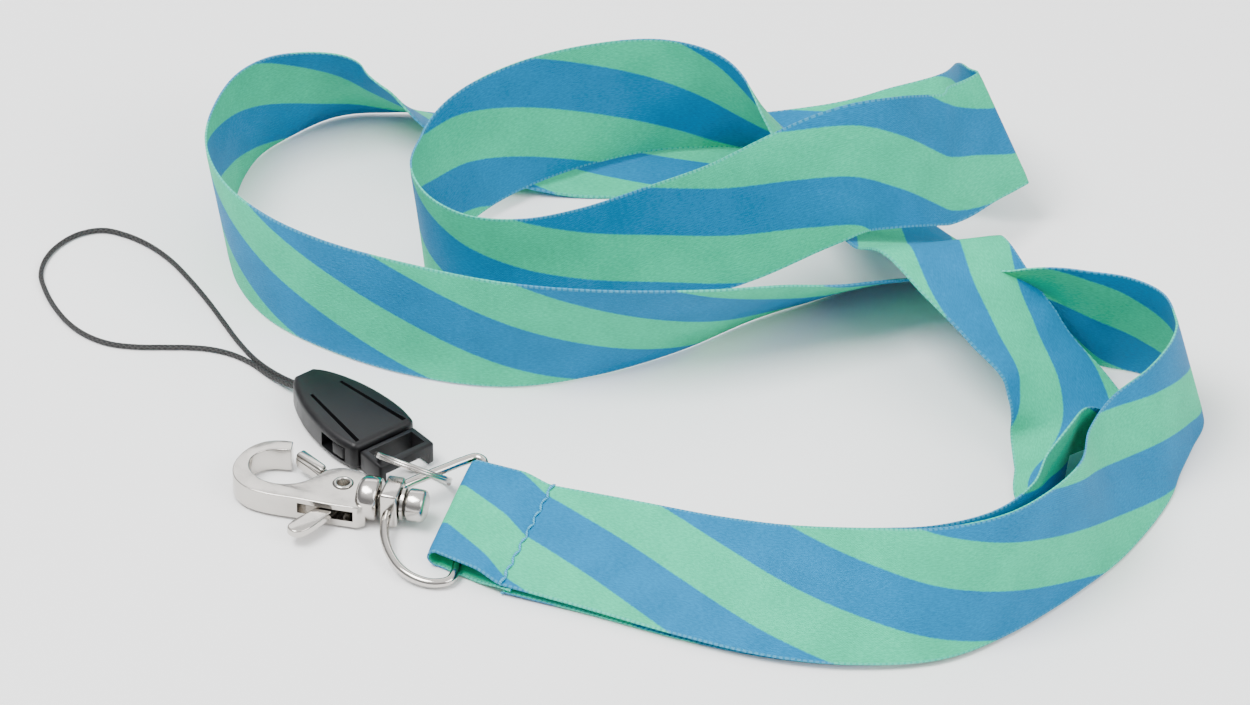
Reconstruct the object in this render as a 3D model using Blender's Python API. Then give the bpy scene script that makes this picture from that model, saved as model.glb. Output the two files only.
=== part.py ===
"""Lanyard: a woven strap sewn round a cast swivel loop, a trigger hook, a split ring and a quick-release phone loop."""
import math

import bmesh
import bpy
from mathutils import Vector

MM = 0.001
ORIGIN = Vector((14.2, -9.6, 0.0))        # middle of the footprint, in the layout's own millimetres

STRAP_WIDTH = 25.0
STRAP_THICK = 0.6
STEPS = 3                                 # cross lines per station
WIRE_R = 0.9                              # swivel loop wire
WRAP_R = 1.75                             # middle of the strap round the loop's bar
SEAM_STEP = 0.85                          # one layer to the next at the seam
HOOK_ANGLE = math.radians(-15.0)
HOOK_AT = Vector((-45.8, -52.2, 0.0))     # the swivel axis at the collar
HOOK_LOW, HOOK_HIGH = 0.3, 5.9
AXIS_Z = 4.4                              # swivel axis above the table
SLOT_LOW, SLOT_HIGH = 2.0, 4.2            # slot for the lever
PIVOT = (-7.2, 1.9)
RIVET_R, RIVET_HOLE_R = 1.9, 1.15
CLIP_ANGLE = math.radians(-51.7)
CLIP_AT = Vector((-60.5, -14.2, 0.0))     # where the cord enters the socket
CORD_R = 0.5
RING_AT = Vector((-39.3, -43.9, 5.4))
RING_R = 7.2
RING_ALONG = Vector((0.684, -0.704, 0.197))
RING_ACROSS = Vector((0.64, 0.45, -0.62))

# Strap stations: x, y, lift of the lower edge, roll of the width from upright. Millimetres and degrees.
FRONT = [
    (-18, -65, 2.6, -76), (-2, -72, 2.0, -70), (14, -80, 1.7, -62), (29, -87, 1.4, -50),
    (43, -91, 1.2, -36), (57, -92, 1.0, -20), (69, -87, 0.7, -8), (78, -79, 0.5, -6),
    (85, -70, 0.5, -10), (90, -58, 0.4, -24), (95, -47.5, 0.4, -26), (100, -39.5, 0.4, -14),
    (104, -30, 0.4, -10), (105.5, -22, 0.4, -14), (103, -14, 0.4, -13), (96, -9, 0.4, -10),
]
SWEEP = [
    (87, -6, 0.4, -12), (78, 1, 0.4, -33), (69, 8.5, 0.4, -48), (59, 13, 0.4, -53),
    (49, 12, 0.4, -54), (38, 7, 0.4, -49), (29, 3, 0.4, -43), (14, -5, 0.4, -30),
    (-5, -11, 0.4, -15), (-23, -12, 0.4, -3), (-41, -7, 0.4, 2), (-57, 1, 0.4, 0),
    (-68, 10, 0.4, -2), (-75, 21, 0.4, -6), (-78, 34, 0.4, -9), (-77, 47, 0.4, -6),
    (-74, 57, 0.4, 0), (-69, 64, 0.4, 9), (-61, 69, 0.4, 20), (-53, 71.5, 0.4, 33),
    (-45, 70, 0.4, 45), (-36, 67, 0.4, 62), (-25, 64, 0.4, 80), (-11, 63, 0.4, 89),
    (5, 63, 0.4, 90), (20, 64, 0.4, 92), (36, 64, 1.2, 96), (50, 61, 3, 108),
]
# Middle of the strap and direction of its width through the upright U-turn: x, y, z, then the direction.
TURN = [
    (60, 57, 11.5, -0.14, -0.86, -0.50), (67.5, 48.6, 18.5, 0.25, -0.50, -0.83),
    (70.6, 46.3, 20.2, 0.38, -0.25, -0.89), (72.4, 44.0, 21.3, 0.40, -0.20, -0.89),
    (70.6, 41.6, 21.6, 0.38, -0.20, -0.90), (66.0, 36.5, 22.5, 0.33, -0.28, -0.90),
]
TOP = [
    (61, 30, 12.5, 208), (52, 22.5, 17.0, 206), (43, 18.3, 18.0, 203), (33, 16.5, 14.0, 200),
    (20, 14.5, 7.8, 196), (6, 12.5, 3.5, 192), (-8, 9, 1, 188), (-20, 7, 0.4, 184),
    (-30, 9, 0.4, 181), (-37, 16, 0.4, 178), (-39, 26, 0.4, 172), (-36, 36, 0.6, 168),
    (-30, 45, 2.6, 163), (-20, 54, 3.0, 163), (-6, 62, 2.2, 169), (7, 65.5, 1.6, 177),
    (17, 64, 1.6, 188), (26, 59.5, 1.8, 206), (34, 52, 4, 228),
]
DROP = [
    (42, 40, 5, 242), (49, 27, 6.5, 250), (55, 14, 11.5, 256), (60, 3, 21.0, 262),
    (66, -7, 19.0, 260), (73, -15, 13.6, 257), (80, -22.5, 7, 254), (84.0, -31, 5, 267),
    (84, -40, 2, 294), (80.8, -48.5, 0.6, 325), (80.8, -57, 0.4, 353), (79, -66, 0.4, 367),
    (75.5, -76, 0.4, 366),
]
UNDER = [
    (68, -85, 0.4, 368), (56.5, -90.5, 0.4, 380), (43, -90, 0.4, 396), (29, -86, 0.4, 410),
    (14, -79.3, 0.4, 422), (-2, -71.4, 0.5, 430), (-18, -64.8, 0.9, 436),
]

# Fold round the loop's bar: ends of the fold line, near the front edge and the back edge of the strap.
FOLD_NEAR = Vector((-34.6, -67.6, 2.25))
FOLD_FAR = Vector((-26.9, -44.4, 5.7))
LOOP_LOW_Z, LOOP_LOW_Y, LOOP_RISE = 1.3, -73.5, 0.15
LOOP_PATH = [
    (-31.3, -71.2), (-32.4, -73.2), (-35.2, -73.8), (-38.6, -72.6), (-41.4, -70.0), (-43.2, -66.6),
    (-44.2, -63.0), (-44.4, -59.0), (-43.8, -55.6), (-42.2, -50.2), (-40.0, -48.2), (-37.0, -46.4),
    (-33.4, -44.4), (-30.2, -42.6), (-27.6, -41.6), (-26.3, -42.6), (-26.5, -44.9), (-27.5, -50.4),
    (-28.7, -57.0), (-29.9, -63.6), (-30.7, -68.0),
]
CORD_OUT = [
    (-61.2, -13.2), (-65.8, -8.2), (-70.0, -3.0), (-73.4, 2.8), (-76.4, 9.2), (-79.6, 16.0),
    (-83.4, 23.2), (-87.2, 29.4), (-91.6, 34.4), (-96.0, 37.6), (-100.4, 39.2), (-104.8, 38.0),
    (-108.6, 34.4), (-111.0, 29.6), (-111.7, 24.4), (-110.6, 19.2), (-108.4, 13.4), (-105.4, 8.2),
    (-101.8, 4.4), (-97.6, 2.0), (-92.4, 1.0), (-87.0, 0.9), (-82.4, 0.8), (-78.4, 0.2),
    (-74.4, -1.4), (-70.9, -4.0), (-66.6, -9.0), (-62.1, -13.9),
]

HOOK_OUTLINE = [
    (-1.4, 3.6), (-2.8, 5.0), (-5.5, 6.4), (-8.5, 6.6), (-11.0, 5.4), (-12.4, 3.2), (-15.0, 0.2),
    (-18.6, -1.2), (-22.5, -0.6), (-25.3, 1.9), (-26.0, 4.8), (-24.9, 7.2), (-22.9, 8.6), (-20.2, 9.1),
    (-19.4, 9.3), (-19.8, 12.0), (-21.8, 11.9), (-24.8, 10.8), (-27.2, 8.2), (-28.4, 4.8), (-28.4, 1.2),
    (-27.0, -1.8), (-24.0, -4.0), (-20.0, -4.8), (-14.0, -4.8), (-8.0, -5.0), (-2.6, -4.9), (-1.4, -3.8),
]
LEVER_OUTLINE = [
    (-18.6, 9.1), (-12.6, 4.7), (-10.4, 2.2), (-10.2, 0.4), (-10.3, -4.0), (-13.6, -9.6), (-14.0, -11.8),
    (-12.4, -12.9), (-10.6, -12.1), (-7.6, -6.0), (-6.0, -1.0), (-4.2, 0.6), (-4.0, 3.0), (-5.6, 4.8),
    (-8.6, 5.2), (-12.4, 7.6), (-17.5, 11.0),
]
GATE_BLOCK = [(-18.6, 9.1), (-13.4, 5.3), (-13.9, 8.5), (-17.5, 11.0)]
SOCKET_OUTLINE = [
    (0.0, 2.1), (1.6, 3.6), (6.0, 5.7), (12.0, 7.3), (20.0, 7.9), (25.4, 7.1),
    (25.4, -7.1), (20.0, -7.9), (12.0, -7.3), (6.0, -5.7), (1.6, -3.6), (0.0, -2.1),
]
ARM_OUTLINE = [
    (25.5, 2.9), (25.5, 4.7), (23.0, 4.7), (22.4, 7.7), (19.6, 7.9), (16.6, 5.2), (14.6, 4.6), (14.6, 3.0),
]


def clear_scene():
    for old in list(bpy.data.objects):
        bpy.data.objects.remove(old, do_unlink=True)


def material(name, colour, metallic=0.0, roughness=0.5):
    made = bpy.data.materials.new(name)
    made.use_nodes = True
    shader = made.node_tree.nodes["Principled BSDF"]
    shader.inputs["Base Color"].default_value = (*colour, 1.0)
    shader.inputs["Metallic"].default_value = metallic
    shader.inputs["Roughness"].default_value = roughness
    return made


def place(point):
    return (Vector(point) - ORIGIN) * MM


def turned(at, angle, point):
    """A point of a flat local layout, moved and turned about +Z."""
    x, y, z = point
    return Vector((
        at.x + x * math.cos(angle) - y * math.sin(angle),
        at.y + x * math.sin(angle) + y * math.cos(angle),
        at.z + z,
    ))


def on_hook(h, k, z):
    return turned(HOOK_AT, HOOK_ANGLE, (h, k, z))


def on_clip(p, q, z):
    return turned(CLIP_AT, CLIP_ANGLE, (p, q, z))


def add_mesh(name, points, faces, colour, origin=None, smooth=False, metallic=0.0, roughness=0.5):
    """A closed mesh in metres with its faces out and its object origin at the given point."""
    mesh = bpy.data.meshes.new(name)
    base = place(origin) if origin is not None else Vector((0.0, 0.0, 0.0))
    mesh.from_pydata([place(p) - base for p in points], [], faces)
    work = bmesh.new()
    work.from_mesh(mesh)
    bmesh.ops.recalc_face_normals(work, faces=work.faces)
    work.to_mesh(mesh)
    work.free()
    mesh.polygons.foreach_set("use_smooth", [smooth] * len(mesh.polygons))
    made = bpy.data.objects.new(name, mesh)
    made.location = base
    bpy.context.scene.collection.objects.link(made)
    made.data.materials.append(material(name, colour, metallic, roughness))
    return made


def prism(outline, low, high, local):
    """Points and faces of an outline stood up between two heights in a local layout."""
    count = len(outline)
    points = [local(x, y, low) for x, y in outline] + [local(x, y, high) for x, y in outline]
    faces = [tuple(range(count - 1, -1, -1)), tuple(range(count, 2 * count))]
    faces += [(i, (i + 1) % count, count + (i + 1) % count, count + i) for i in range(count)]
    return points, faces


def lathe(start, axis, profile, sides=28):
    """Points and faces of a closed profile of (distance, radius) pairs turned about an axis."""
    axis = Vector(axis).normalized()
    side = axis.orthogonal().normalized()
    up = axis.cross(side)
    points = []
    for step in range(sides):
        angle = 2 * math.pi * step / sides
        out = side * math.cos(angle) + up * math.sin(angle)
        points += [Vector(start) + axis * far + out * radius for far, radius in profile]
    count = len(profile)
    faces = []
    for step in range(sides):
        here, there = step * count, (step + 1) % sides * count
        faces += [(here + i, here + (i + 1) % count, there + (i + 1) % count, there + i) for i in range(count)]
    return points, faces


def solid_lathe(start, axis, profile, sides=28):
    """A turned solid with flat ends, from an open profile of (distance, radius) pairs."""
    axis = Vector(axis).normalized()
    side = axis.orthogonal().normalized()
    up = axis.cross(side)
    points = []
    for far, radius in profile:
        for step in range(sides):
            angle = 2 * math.pi * step / sides
            out = side * math.cos(angle) + up * math.sin(angle)
            points.append(Vector(start) + axis * far + out * radius)
    faces = [tuple(range(sides - 1, -1, -1))]
    for row in range(len(profile) - 1):
        here, there = row * sides, (row + 1) * sides
        faces += [(here + i, here + (i + 1) % sides, there + (i + 1) % sides, there + i) for i in range(sides)]
    last = (len(profile) - 1) * sides
    faces.append(tuple(range(last, last + sides)))
    return points, faces


def tube(path, radius, sides=10, closed=False):
    """Points and faces of a round wire along a path."""
    count = len(path)
    points = []
    for i, here in enumerate(path):
        before = path[(i - 1) % count] if closed or i else here
        after = path[(i + 1) % count] if closed or i < count - 1 else here
        along = (after - before).normalized()
        side = along.cross(Vector((0.0, 0.0, 1.0))).normalized()
        up = side.cross(along)
        for step in range(sides):
            angle = 2 * math.pi * step / sides
            points.append(here + side * radius * math.cos(angle) + up * radius * math.sin(angle))
    rows = count if closed else count - 1
    faces = []
    for row in range(rows):
        here, there = row * sides, (row + 1) % count * sides
        faces += [(here + i, here + (i + 1) % sides, there + (i + 1) % sides, there + i) for i in range(sides)]
    if not closed:
        faces.append(tuple(range(sides - 1, -1, -1)))
        faces.append(tuple(range((count - 1) * sides, count * sides)))
    return points, faces


def combine(target, operation, name, shape, smooth=False):
    """Unite a hidden helper solid with the target, or cut it away."""
    helper = add_mesh(name, shape[0], shape[1], (0.5, 0.5, 0.5), smooth=smooth)
    helper.hide_render = True
    helper.display_type = "WIRE"
    tool = target.modifiers.new(name, "BOOLEAN")
    tool.operation = operation
    tool.solver = "EXACT"
    tool.object = helper


def chamfer(target, width, segments=1):
    tool = target.modifiers.new("edges", "BEVEL")
    tool.width = width * MM
    tool.segments = segments
    tool.limit_method = "ANGLE"
    tool.angle_limit = math.radians(50)


def smooth_path(points, steps, closed=False):
    """A centripetal Catmull-Rom curve through the points, measured on their first three values."""
    count = len(points)
    if closed:
        padded = [points[-1], *points, points[0], points[1]]
    else:
        padded = [2 * points[0] - points[1], *points, 2 * points[-1] - points[-2]]
    found = []
    for i in range(1, count + 1 if closed else count):
        four = padded[i - 1:i + 3]
        knots = [0.0]
        for a, b in zip(four, four[1:]):
            knots.append(knots[-1] + math.sqrt(Vector((b - a)[:3]).length))
        for step in range(steps):
            t = knots[1] + (knots[2] - knots[1]) * step / steps
            level = list(four)
            for degree in (1, 2, 3):
                level = [
                    blend(level[j], level[j + 1], *span(knots, j, degree), t) for j in range(len(level) - 1)
                ]
            found.append(level[0])
    if not closed:
        found.append(points[-1])
    return found


def span(knots, j, degree):
    """The knots a Catmull-Rom level runs between."""
    if degree == 2:
        return knots[j], knots[j + 2]
    if degree == 3:
        return knots[1], knots[2]
    return knots[j], knots[j + 1]


def blend(a, b, low, high, t):
    return a * ((high - t) / (high - low)) + b * ((t - low) / (high - low))


def rolled_strap(stations, steps):
    """Middle points and unit widths along stations given by their lift and roll."""
    half = STRAP_WIDTH / 2
    knots = [
        Vector((x, y, lift + half * abs(math.cos(math.radians(roll))), roll)) for x, y, lift, roll in stations
    ]
    path = smooth_path(knots, steps)
    rulings = []
    for i, here in enumerate(path):
        along = path[min(i + 1, len(path) - 1)].xyz - path[max(i - 1, 0)].xyz
        along.normalize()
        rise = Vector((0.0, 0.0, 1.0))
        upright = (rise - along * along.z).normalized()
        aside = along.cross(rise).normalized()
        roll = math.radians(here.w)
        rulings.append((here.xyz, upright * math.cos(roll) + aside * math.sin(roll)))
    return rulings


def laid_strap(steps=STEPS):
    """Middle points and unit widths of the strap from the top of the seam to the bottom of the seam."""
    first = rolled_strap(FRONT + SWEEP, steps)
    second = rolled_strap(TOP + DROP + UNDER, steps)
    ends = [first[-1 - steps], first[-1]], [second[0], second[steps]]
    knots = [Vector((*middle, *width)) for middle, width in ends[0]]
    knots += [Vector(turn) for turn in TURN]
    knots += [Vector((*middle, *width)) for middle, width in ends[1]]
    bend = smooth_path(knots, steps)[steps + 1:-1 - steps]
    return first + [(Vector(k[:3]), Vector(k[3:]).normalized()) for k in bend] + second


def folded_end(seam):
    """The strap's folded end: the tail under the seam, round the loop's bar and back to the top."""
    seam_mid, seam_width = seam
    fold_mid = (FOLD_NEAR + FOLD_FAR) / 2
    fold_width = (FOLD_FAR - FOLD_NEAR).normalized()
    out = (fold_mid - seam_mid)
    out = (out - fold_width * out.dot(fold_width)).normalized()
    up = out.cross(fold_width)
    if up.z < 0:
        up = -up
    tail = []
    top = []
    for share in (0.0, 0.15, 0.3, 0.45, 0.6, 0.72, 0.82, 0.91):
        middle = seam_mid + (fold_mid - seam_mid) * share
        width = (seam_width * (1 - share) + fold_width * share).normalized()
        spread = min(1.0, share / 0.4)
        top.append((middle + up * WRAP_R * spread, width))
        tail.append((middle - up * (WRAP_R * spread + SEAM_STEP * (1 - spread)), width))
    beyond = seam_mid - (fold_mid - seam_mid) * 0.12 - up * SEAM_STEP
    tail.insert(0, (beyond, seam_width))
    wrap = []
    for step in range(9):
        angle = math.pi * (step / 8 - 0.5)
        wrap.append((fold_mid + (out * math.cos(angle) + up * math.sin(angle)) * WRAP_R, fold_width))
    top.reverse()
    return tail + wrap + top[:-1]


def strap_rulings():
    laid = laid_strap()
    return folded_end(laid[0]) + laid


def build_strap():
    rulings = strap_rulings()
    points = []
    last = len(rulings) - 1
    for i, (middle, width) in enumerate(rulings):
        along = rulings[min(i + 1, last)][0] - rulings[max(i - 1, 0)][0]
        normal = along.cross(width).normalized() * (STRAP_THICK / 2)
        edge = width * (STRAP_WIDTH / 2)
        points += [middle - edge - normal, middle + edge - normal, middle + edge + normal, middle - edge + normal]
    faces = [(3, 2, 1, 0), tuple(4 * last + i for i in range(4))]
    for row in range(last):
        a, b = 4 * row, 4 * row + 4
        # both faces are split along the same diagonal, so a twisted stretch keeps its thickness
        faces += [(a, a + 1, b + 1), (a, b + 1, b), (a + 2, a + 3, b + 2), (a + 3, b + 3, b + 2)]
        faces += [(a + 1, a + 2, b + 2, b + 1), (a + 3, a, b, b + 3)]
    return add_mesh("strap_ribbon", points, faces, (0.10, 0.52, 0.62), roughness=0.7)


def build_stitches():
    """Upper and lower thread of the seam, just clear of the strap's outer faces."""
    laid = laid_strap()
    for name, index, side in (("strap_stitch_top", 0, 1.0), ("strap_stitch_bottom", len(laid) - 1, -1.0)):
        middle, width = laid[index]
        along = laid[1][0] - laid[0][0]
        normal = width.cross(along).normalized()
        if normal.z < 0:
            normal = -normal
        offset = normal * side * (STRAP_THICK / 2 + 0.35)
        shape = tube([middle + offset + width * (11.6 * (i / 6 - 1)) for i in range(13)], 0.22, 8)
        add_mesh(name, *shape, (0.05, 0.40, 0.62), smooth=True, roughness=0.6)


def loop_point(x, y):
    return Vector((x, y, LOOP_LOW_Z + LOOP_RISE * (y - LOOP_LOW_Y)))


def build_loop():
    bar = loop_point(*LOOP_PATH[0])
    corners = [loop_point(x, y) for x, y in LOOP_PATH]
    made = add_mesh(
        "swivel_loop", *tube(smooth_path(corners, 3, closed=True), WIRE_R, 10, closed=True), (0.72, 0.71, 0.69),
        origin=bar, smooth=True, metallic=1.0, roughness=0.25,
    )
    block = [(1.2, -3.4), (4.6, -3.4), (4.6, 3.4), (1.2, 3.4)]
    combine(made, "UNION", "boss", prism(block, AXIS_Z - 3.6, AXIS_Z + 3.6, on_hook))
    bore = solid_lathe(on_hook(-1.0, 0, AXIS_Z), on_hook(1, 0, 0) - on_hook(0, 0, 0), [(0, 1.9), (8, 1.9)], 20)
    combine(made, "DIFFERENCE", "boss_bore", bore)


def swivel_axis():
    return on_hook(1, 0, 0) - on_hook(0, 0, 0)


def build_swivel():
    start = on_hook(0, 0, AXIS_Z)
    ring = [(4.9, 1.8), (5.6, 1.8), (5.6, 3.3), (4.9, 3.3)]
    add_mesh("swivel_washer", *lathe(start, swivel_axis(), ring), (0.70, 0.69, 0.67), smooth=False,
             metallic=1.0, roughness=0.3)
    pin = [(0.9, 1.5), (5.9, 1.5), (5.9, 3.1), (8.6, 3.1), (9.2, 2.7), (9.5, 2.0)]
    add_mesh("swivel_pin", *solid_lathe(start, swivel_axis(), pin), (0.74, 0.72, 0.70), smooth=True,
             metallic=1.0, roughness=0.25)


def build_hook():
    shape = prism(HOOK_OUTLINE, HOOK_LOW, HOOK_HIGH, on_hook)
    made = add_mesh("hook_body", *shape, (0.74, 0.73, 0.71), metallic=1.0, roughness=0.22)
    chamfer(made, 0.55, 2)
    collar = [(-3.2, 3.5), (-2.4, 4.15), (0.0, 4.15), (0.6, 3.6)]
    combine(made, "UNION", "collar", solid_lathe(on_hook(0, 0, AXIS_Z), swivel_axis(), collar))
    gap = [(-14.2, -8.0), (-3.4, -8.0), (-3.4, 9.0), (-14.2, 9.0)]
    combine(made, "DIFFERENCE", "lever_slot", prism(gap, SLOT_LOW, SLOT_HIGH, on_hook))
    hole = solid_lathe(on_hook(*PIVOT, -1.0), (0, 0, 1), [(0, RIVET_R + 0.25), (9, RIVET_R + 0.25)])
    combine(made, "DIFFERENCE", "rivet_hole", hole)


def build_lever():
    shape = prism(LEVER_OUTLINE, SLOT_LOW + 0.3, SLOT_HIGH - 0.3, on_hook)
    made = add_mesh("gate_lever", *shape, (0.73, 0.72, 0.70), origin=on_hook(*PIVOT, 3.1),
                    metallic=1.0, roughness=0.25)
    combine(made, "UNION", "gate_block", prism(GATE_BLOCK, 1.2, 5.0, on_hook))
    hole = solid_lathe(on_hook(*PIVOT, -1.0), (0, 0, 1), [(0, RIVET_R + 0.1), (9, RIVET_R + 0.1)])
    combine(made, "DIFFERENCE", "lever_hole", hole)


def build_rivet_and_spring():
    low, high = HOOK_LOW - 0.1, HOOK_HIGH + 0.35
    wall = [(0, RIVET_HOLE_R), (high - low, RIVET_HOLE_R), (high - low, RIVET_R), (0, RIVET_R)]
    add_mesh("gate_rivet", *lathe(on_hook(*PIVOT, low), (0, 0, 1), wall), (0.66, 0.65, 0.63),
             metallic=1.0, roughness=0.35)
    turns = [on_hook(-5.3 + 0.5 * math.cos(i * 0.9), -3.2 + 0.16 * i, 3.1 + 0.5 * math.sin(i * 0.9))
             for i in range(14)]
    add_mesh("gate_spring", *tube(turns, 0.16, 6), (0.6, 0.6, 0.6), smooth=True, metallic=1.0, roughness=0.3)


def build_split_ring():
    normal = RING_ALONG.cross(RING_ACROSS)
    wall = [(-0.6, RING_R - 0.4), (0.6, RING_R - 0.4), (0.6, RING_R + 0.4), (-0.6, RING_R + 0.4)]
    add_mesh("split_ring", *lathe(RING_AT, normal, wall, 36), (0.75, 0.74, 0.72), origin=loop_point(-37.0, -46.4),
             metallic=1.0, roughness=0.25)


def build_socket():
    made = add_mesh("clip_socket", *prism(SOCKET_OUTLINE, 0.3, 6.2, on_clip), (0.015, 0.015, 0.017), roughness=0.4)
    chamfer(made, 0.8, 2)
    pocket = [(5.6, -5.6), (30.0, -5.6), (30.0, 5.6), (5.6, 5.6)]
    combine(made, "DIFFERENCE", "socket_pocket", prism(pocket, 1.5, 4.7, on_clip))
    window = [(16.0, -10.0), (22.9, -10.0), (22.9, 10.0), (16.0, 10.0)]
    combine(made, "DIFFERENCE", "socket_windows", prism(window, 1.5, 4.7, on_clip))
    mouth = solid_lathe(on_clip(-2.0, 0, 3.1), on_clip(1, 0, 0) - on_clip(0, 0, 0), [(0, 1.35), (9, 1.35)], 16)
    combine(made, "DIFFERENCE", "socket_mouth", mouth)


def build_plug():
    frame = [(25.8, -6.3), (32.3, -6.3), (32.3, 6.3), (25.8, 6.3)]
    made = add_mesh("clip_plug", *prism(frame, 0.6, 5.2, on_clip), (0.015, 0.015, 0.017), roughness=0.4,
                    origin=on_clip(31.4, 0, 3.9))
    chamfer(made, 0.35)
    hole = [(27.0, -5.0), (31.0, -5.0), (31.0, 5.0), (27.0, 5.0)]
    combine(made, "DIFFERENCE", "plug_slot", prism(hole, -1.0, 8.0, on_clip))
    under = [(30.0, -5.0), (34.0, -5.0), (34.0, 5.0), (30.0, 5.0)]
    combine(made, "DIFFERENCE", "bar_under", prism(under, -1.0, 3.1, on_clip))


def build_arms():
    for name, side in (("clip_arm_left", -1.0), ("clip_arm_right", 1.0)):
        outline = [(p, q * side) for p, q in ARM_OUTLINE]
        add_mesh(name, *prism(outline, 1.9, 4.3, on_clip), (0.018, 0.018, 0.02), roughness=0.4,
                 origin=on_clip(25.5, 3.8 * side, 3.1))


def build_cord():
    ball = [(1.4 * (1 - math.cos(math.pi * i / 8)), max(0.05, 1.4 * math.sin(math.pi * i / 8))) for i in range(9)]
    add_mesh("cord_knot", *solid_lathe(on_clip(6.2, 0, 3.1), on_clip(1, 0, 0) - on_clip(0, 0, 0), ball, 14),
             (0.02, 0.02, 0.02), smooth=True, roughness=0.8)
    rest = [Vector((x, y, CORD_R + 0.1)) for x, y in CORD_OUT]
    rest[0].z = rest[-1].z = 2.2
    rest[1].z = rest[-2].z = 0.9
    path = [on_clip(3.2, 0.55, 3.1), *smooth_path([on_clip(0.4, 0.56, 3.0), *rest, on_clip(0.4, -0.56, 3.0)], 3),
            on_clip(3.2, -0.55, 3.1)]
    curve = bpy.data.curves.new("phone_loop_cord", "CURVE")
    curve.dimensions = "3D"
    curve.bevel_depth = CORD_R * MM
    curve.bevel_resolution = 2
    curve.use_fill_caps = True
    line = curve.splines.new("POLY")
    line.points.add(len(path) - 1)
    for i, point in enumerate(path):
        line.points[i].co = (*place(point), 1.0)
    made = bpy.data.objects.new("phone_loop_cord", curve)
    bpy.context.scene.collection.objects.link(made)
    curve.materials.append(material("phone_loop_cord", (0.02, 0.02, 0.02), roughness=0.8))


clear_scene()
build_strap()
build_stitches()
build_loop()
build_swivel()
build_hook()
build_lever()
build_rivet_and_spring()
build_split_ring()
build_socket()
build_plug()
build_arms()
build_cord()
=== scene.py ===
"""Looks of the lanyard: printed satin strap in loops, nickel hook and loop, black clip and cord."""
import math

import bmesh
import bpy
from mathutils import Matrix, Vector


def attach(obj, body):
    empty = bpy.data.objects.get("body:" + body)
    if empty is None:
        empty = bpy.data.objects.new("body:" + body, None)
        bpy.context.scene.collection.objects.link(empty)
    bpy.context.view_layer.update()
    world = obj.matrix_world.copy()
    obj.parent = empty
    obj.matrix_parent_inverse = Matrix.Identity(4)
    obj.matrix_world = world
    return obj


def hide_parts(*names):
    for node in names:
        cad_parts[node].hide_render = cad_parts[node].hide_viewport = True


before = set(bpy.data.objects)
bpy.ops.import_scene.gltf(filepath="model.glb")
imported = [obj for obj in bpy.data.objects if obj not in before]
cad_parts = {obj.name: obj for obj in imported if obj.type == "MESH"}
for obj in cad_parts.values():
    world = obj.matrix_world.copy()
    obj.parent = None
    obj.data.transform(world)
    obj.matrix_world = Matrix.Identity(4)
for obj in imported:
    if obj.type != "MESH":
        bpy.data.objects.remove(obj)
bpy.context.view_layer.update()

MM = 0.001
ORIGIN = Vector((14.2, -9.6, 0.0))
STRAP_WIDTH = 25.0
STRAP_THICK = 0.6
STEPS = 9
ACROSS = 12
WIRE_R = 0.9
WRAP_R = 1.75
SEAM_STEP = 0.85
HOOK_ANGLE = math.radians(-15.0)
HOOK_AT = Vector((-45.8, -52.2, 0.0))
HOOK_LOW, HOOK_HIGH = 0.6, 5.3
AXIS_Z = 4.4
SLOT_LOW, SLOT_HIGH = 2.0, 4.2
PIVOT = (-7.2, 1.9)
RIVET_R, RIVET_HOLE_R = 1.9, 1.15
CLIP_ANGLE = math.radians(-51.7)
CLIP_AT = Vector((-60.5, -14.2, 0.0))
CORD_R = 0.5
RING_AT = Vector((-39.3, -43.9, 5.4))
RING_R = 7.2
RING_ALONG = Vector((0.684, -0.704, 0.197))
RING_ACROSS = Vector((0.64, 0.45, -0.62))
BANDS_PITCH = 20.5          # one blue and one green stripe, measured across the strap
BANDS_SLOPE = 0.357         # how far a stripe climbs across for each millimetre along
BANDS_SHIFT = 0.27          # where the first stripe starts, as a share of the pitch
BACK_SHIFT = 33.2           # how far the inner face's print is moved along the strap
HOLE_GAP = 0.1              # all round the rivet
KNOT_R = 1.4
CORD_LEG_GAP = 0.55         # half the distance between the cord's two legs inside the clip
CLIP_MID_Z = 3.1
RING_TURNS_APART = 0.85
LENS = 304.1                # millimetres, on a 36 mm sensor
SENSOR = 36.0
CAMERA_FAR = 2.0            # metres from the middle of the layout
CAMERA_RISE = math.radians(36.0)
FLOOR_HALF = 3.0            # metres

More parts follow.
